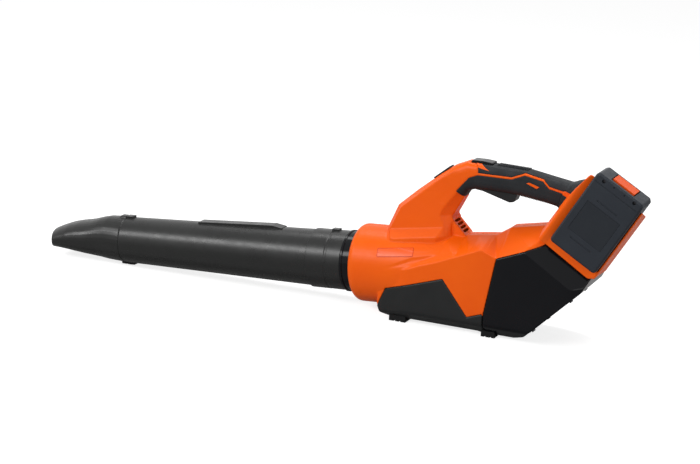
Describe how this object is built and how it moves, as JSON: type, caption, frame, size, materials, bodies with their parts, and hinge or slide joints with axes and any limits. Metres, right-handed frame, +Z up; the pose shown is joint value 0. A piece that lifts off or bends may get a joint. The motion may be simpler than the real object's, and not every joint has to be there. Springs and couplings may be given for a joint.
{
  "type": "leaf blower",
  "caption": "Handheld cordless leaf blower: round blow tube with flattened nozzle, axial fan in the barrel, looped handle with trigger, and a slide-on battery pack beside the rear",
  "frame": {"origin": "on the ground, in the middle plane, under the middle of the front foot", "axes": "+X points to the rear of the machine, air leaves towards -X, +Z is up, the battery's outer face looks towards -Y"},
  "size_m": [0.9366, 0.1175, 0.2563],
  "materials": {
    "orange_shell": "moulded, satin sheen",
    "tube_black": "moulded, soft sheen",
    "gloss_black": "glossy moulded",
    "cover_black": "moulded, satin",
    "soft_grip": "soft overmould",
    "foot_rubber": "soft",
    "pack_grey": "fine texture",
    "latch_orange": "moulded",
    "label_film": "bare film",
    "steel": "plain",
    "black_steel": "black oxide",
    "spring_steel": "drawn wire",
    "lamination": "stacked sheet",
    "copper": "enamelled wire",
    "contact_brass": "plain",
    "aluminium": "cast",
    "inner_plastic": "glass filled",
    "board_green": "solder mask",
    "cell_wrap": "shrink film",
    "frame_plastic": "moulded",
    "wire_jacket": "silicone"
  },
  "bodies": {
    "housing": {"outlet_connector": "gloss_black", "housing_left": "orange_shell", "housing_right": "orange_shell", "front_cover": "cover_black", "intake_shell": "gloss_black", "intake_grille": "cover_black", "grille_screws": "black_steel", "housing_screws": "black_steel", "foot_strips": "foot_rubber", "grip_top": "soft_grip", "grip_under": "soft_grip", "slope_inlay": "soft_grip", "trigger_pin": "steel", "trigger_spring": "spring_steel", "trigger_switch": "inner_plastic", "turbo_spring": "spring_steel", "turbo_switch": "inner_plastic", "fan_duct": "inner_plastic", "inlet_bell": "inner_plastic", "tail_cone": "inner_plastic", "motor_can": "steel", "motor_end_bell": "aluminium", "stator_core": "lamination", "windings": "copper", "bearing_front": "steel", "bearing_rear": "steel", "controller_board": "board_green", "heat_sink": "aluminium", "motor_leads": "wire_jacket", "terminal_plate": "cover_black", "terminal_blades": "contact_brass"},
    "tube": {"blower_tube": "tube_black"},
    "nozzle_body": {"nozzle": "tube_black"},
    "rotor": {"motor_shaft": "steel", "rotor_core": "lamination", "fan": "inner_plastic", "fan_nut": "steel", "spinner": "inner_plastic"},
    "trigger_body": {"trigger": "cover_black"},
    "turbo_body": {"turbo_button": "gloss_black"},
    "pack": {"pack_case_outer": "pack_grey", "pack_case_inner": "pack_grey", "pack_cells": "cell_wrap", "cell_frame": "frame_plastic", "bus_strips": "steel", "pack_board": "board_green", "pack_screws": "black_steel", "pack_label": "label_film", "latch_spring": "spring_steel"},
    "latch": {"latch_button": "latch_orange"}
  },
  "joints": [
    {"name": "tube_twist", "type": "hinge", "parent": "housing", "child": "tube", "pos_m": [0, 0, 0.071], "axis": [0.9979, 0, 0.0654], "range_deg": [0, 25]},
    {"name": "nozzle_twist", "type": "hinge", "parent": "tube", "child": "nozzle_body", "pos_m": [0, 0, 0.071], "axis": [0.9979, 0, 0.0654], "range_deg": [0, 25]},
    {"name": "fan_spin", "type": "hinge", "parent": "housing", "child": "rotor", "pos_m": [0, 0, 0.071], "axis": [0.9979, 0, 0.0654], "continuous": true},
    {"name": "trigger_pull", "type": "hinge", "parent": "housing", "child": "trigger_body", "pos_m": [0.084, 0, 0.204], "axis": [0, -1, 0], "range_deg": [0, 7], "stiffness_Nm_per_rad": 0.4, "springref_deg": -8.59, "deforming": ["trigger_spring"]},
    {"name": "turbo_press", "type": "slide", "parent": "housing", "child": "turbo_body", "axis": [0, 0, -1], "range_m": [0, 0.002], "stiffness_N_per_m": 300, "springref_m": -0.003, "deforming": ["turbo_spring"]},
    {"name": "pack_slide", "type": "slide", "parent": "housing", "child": "pack", "axis": [0.506, 0, 0.8625], "range_m": [0, 0.12]},
    {"name": "latch_press", "type": "slide", "parent": "pack", "child": "latch", "axis": [0, -1, 0], "range_m": [0, 0.004], "stiffness_N_per_m": 500, "springref_m": -0.003, "deforming": ["latch_spring"]}
  ]
}
